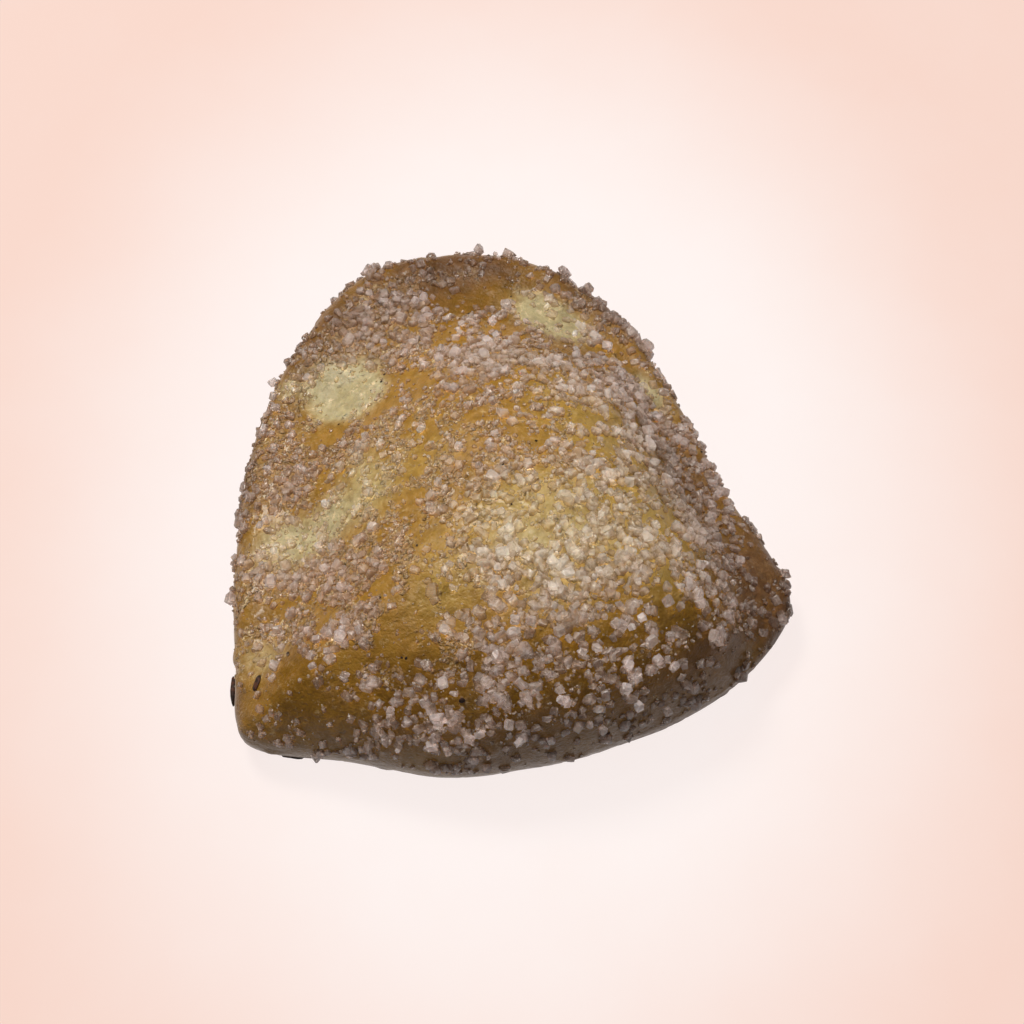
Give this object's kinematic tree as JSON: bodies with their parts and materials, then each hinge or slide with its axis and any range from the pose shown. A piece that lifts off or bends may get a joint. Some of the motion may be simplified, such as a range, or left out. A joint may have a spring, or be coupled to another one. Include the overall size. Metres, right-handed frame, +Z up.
{
  "type": "sugared turnover pastry",
  "caption": "Filled half-moon pastry with a thick round fold, a pressed curved edge with finger marks, an egg-washed golden crust and a coarse sugar topping.",
  "frame": {"origin": "bottom centre of the bounding box, on the plane of the flat base", "axes": "+Z up; +Y from the thick fold towards the crown of the pressed edge; +X towards the right-hand tip, where the fold ends"},
  "size_m": [0.084, 0.09, 0.029],
  "materials": {
    "crust": "baked wheat dough with an egg wash: amber to brown glaze with a soft sheen, pale where fingers pressed it, matt grey-brown low on the fold",
    "sugar": "coarse translucent sugar crystals, greyish pink, with clear bright facets",
    "char": "burnt crumbs and flecks, nearly black"
  },
  "bodies": {
    "root": {"turnover": "crust"}
  },
  "joints": []
}
